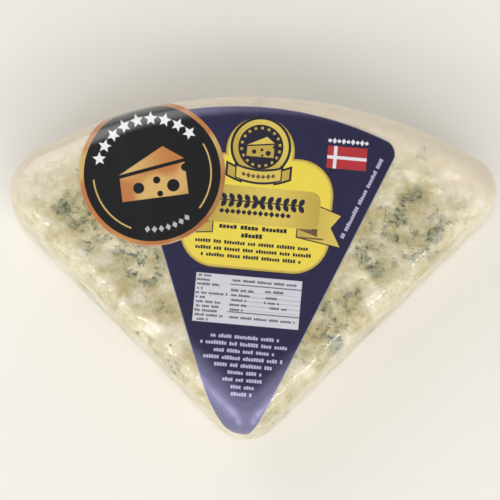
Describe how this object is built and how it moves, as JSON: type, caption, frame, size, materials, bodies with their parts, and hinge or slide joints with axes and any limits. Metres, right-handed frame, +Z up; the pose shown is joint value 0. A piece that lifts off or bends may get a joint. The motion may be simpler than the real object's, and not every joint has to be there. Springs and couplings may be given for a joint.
{
  "type": "shrink-wrapped blue cheese wedge",
  "caption": "Wedge of veined blue cheese in tight clear film, with a dark sector label folded over its tip and a round seal folded over its rim.",
  "frame": {"origin": "middle of the wedge's bounding box, on the surface that it lies on", "axes": "+Z up, out of the labelled face; +X to the right across the wedge, its longest extent; the tip points to -Y and the rim to +Y"},
  "size_m": [0.1324, 0.0922, 0.0342],
  "materials": {
    "cheese": "pale ivory curd with blue-green mould veins under tight clear film",
    "label": "glossy printed film, dark blue with a yellow panel",
    "seal": "glossy black with a copper ring"
  },
  "bodies": {
    "root": {"cheese": "cheese", "label": "label", "seal": "seal"}
  },
  "joints": []
}
